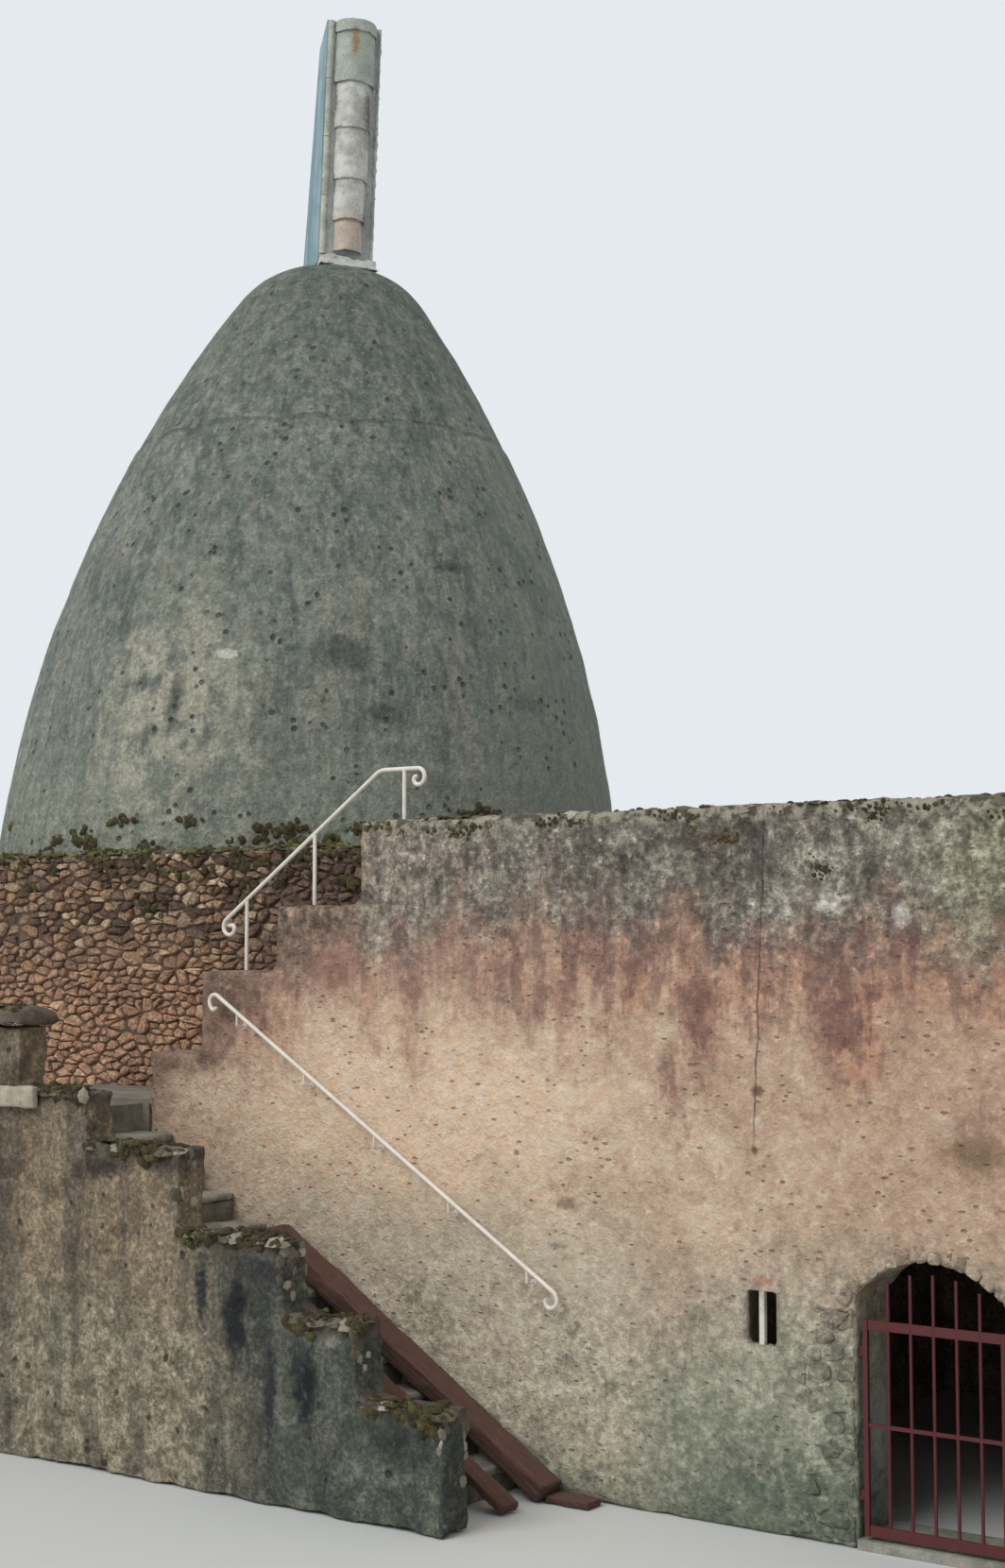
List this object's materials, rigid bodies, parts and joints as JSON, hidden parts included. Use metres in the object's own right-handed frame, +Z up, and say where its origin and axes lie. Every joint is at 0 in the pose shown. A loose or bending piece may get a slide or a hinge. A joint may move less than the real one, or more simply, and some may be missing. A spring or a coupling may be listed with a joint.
{
  "type": "masonry of a cone-topped windmill, without cap or sails",
  "caption": "Rendered masonry cone on a raised mound, with a tiled stack on top, a walled terrace over a vaulted room, outside stairs with handrails and a barred gate.",
  "frame": {"origin": "on the ground below the centre of the cone's foot", "axes": "+X along the front wall to the right, +Y from the front wall to the back, +Z up"},
  "size_m": [12.55, 8.46, 11.2117],
  "materials": {
    "clay_tile": "weathered, stained",
    "cone_render": "rough weathered render",
    "door_stone": "rough stone and mortar",
    "fill": "rubble and earth",
    "gate_paint": "worn paint with rust",
    "grey_sheet": "flat weathered render",
    "ledge_stone": "worn pale stone",
    "mossy_coping": "mortar with moss",
    "old_timber": "weathered",
    "parapet_render": "stained, mossy render",
    "rail_paint": "worn paint",
    "room_stone": "rough plaster",
    "rubble": "rough rubble in mortar",
    "slit_bar": "chipped paint",
    "stack_core": "rough render",
    "stack_mortar": "rough mortar",
    "stack_roll": "weathered",
    "stair_stone": "rough render",
    "tread_stone": "worn stone",
    "wall_render": "stained render"
  },
  "bodies": {
    "masonry": {"back_coping": "mossy_coping", "cone_cap": "cone_render", "cone_foot": "rubble", "cone_shell": "cone_render", "door_arch": "door_stone", "door_jamb_left": "door_stone", "door_jamb_right": "door_stone", "door_sill": "door_stone", "foot_board": "old_timber", "front_coping": "mossy_coping", "front_wall_main": "wall_render", "front_wall_right": "wall_render", "front_wall_stepped_end": "wall_render", "gate_pins": "gate_paint", "landing": "stair_stone", "landing_ledge": "ledge_stone", "landing_parapet_cap": "mossy_coping", "lower_brackets": "rail_paint", "lower_flight": "stair_stone", "lower_handrail": "rail_paint", "lower_treads": "tread_stone", "mound_coping": "mossy_coping", "mound_core": "fill", "right_coping": "mossy_coping", "right_wall": "wall_render", "room_back_wall": "room_stone", "room_left_wall": "room_stone", "room_vault": "room_stone", "rubble_back_wall": "rubble", "rubble_front_wall": "rubble", "rubble_left_wall": "rubble", "rubble_right_wall": "rubble", "slit_bar": "slit_bar", "slit_bay": "wall_render", "stack_bed": "stack_mortar", "stack_core": "stack_core", "stack_edge_strip": "stack_mortar", "stack_roll": "stack_roll", "stack_side_sheet": "grey_sheet", "stack_tile_1": "clay_tile", "stack_tile_2": "clay_tile", "stack_tile_3": "clay_tile", "stack_tile_4": "clay_tile", "stack_tile_5": "clay_tile", "stack_tile_6": "clay_tile", "stair_parapet": "parapet_render", "terrace_back_wall": "wall_render", "terrace_core_back": "fill", "terrace_core_front": "fill", "terrace_core_left": "fill", "timber_by_wall": "old_timber", "timber_outer": "old_timber", "upper_flight": "stair_stone", "upper_handrail": "rail_paint", "upper_treads": "tread_stone", "wall_over_door": "wall_render"},
    "gate": {"gate_leaf": "gate_paint"}
  },
  "joints": [
    {"name": "gate_hinge", "type": "hinge", "parent": "masonry", "child": "gate", "pos_m": [7.284, -4.17, 0.6], "axis": [0, 0, -1], "range_deg": [0, 95]}
  ]
}
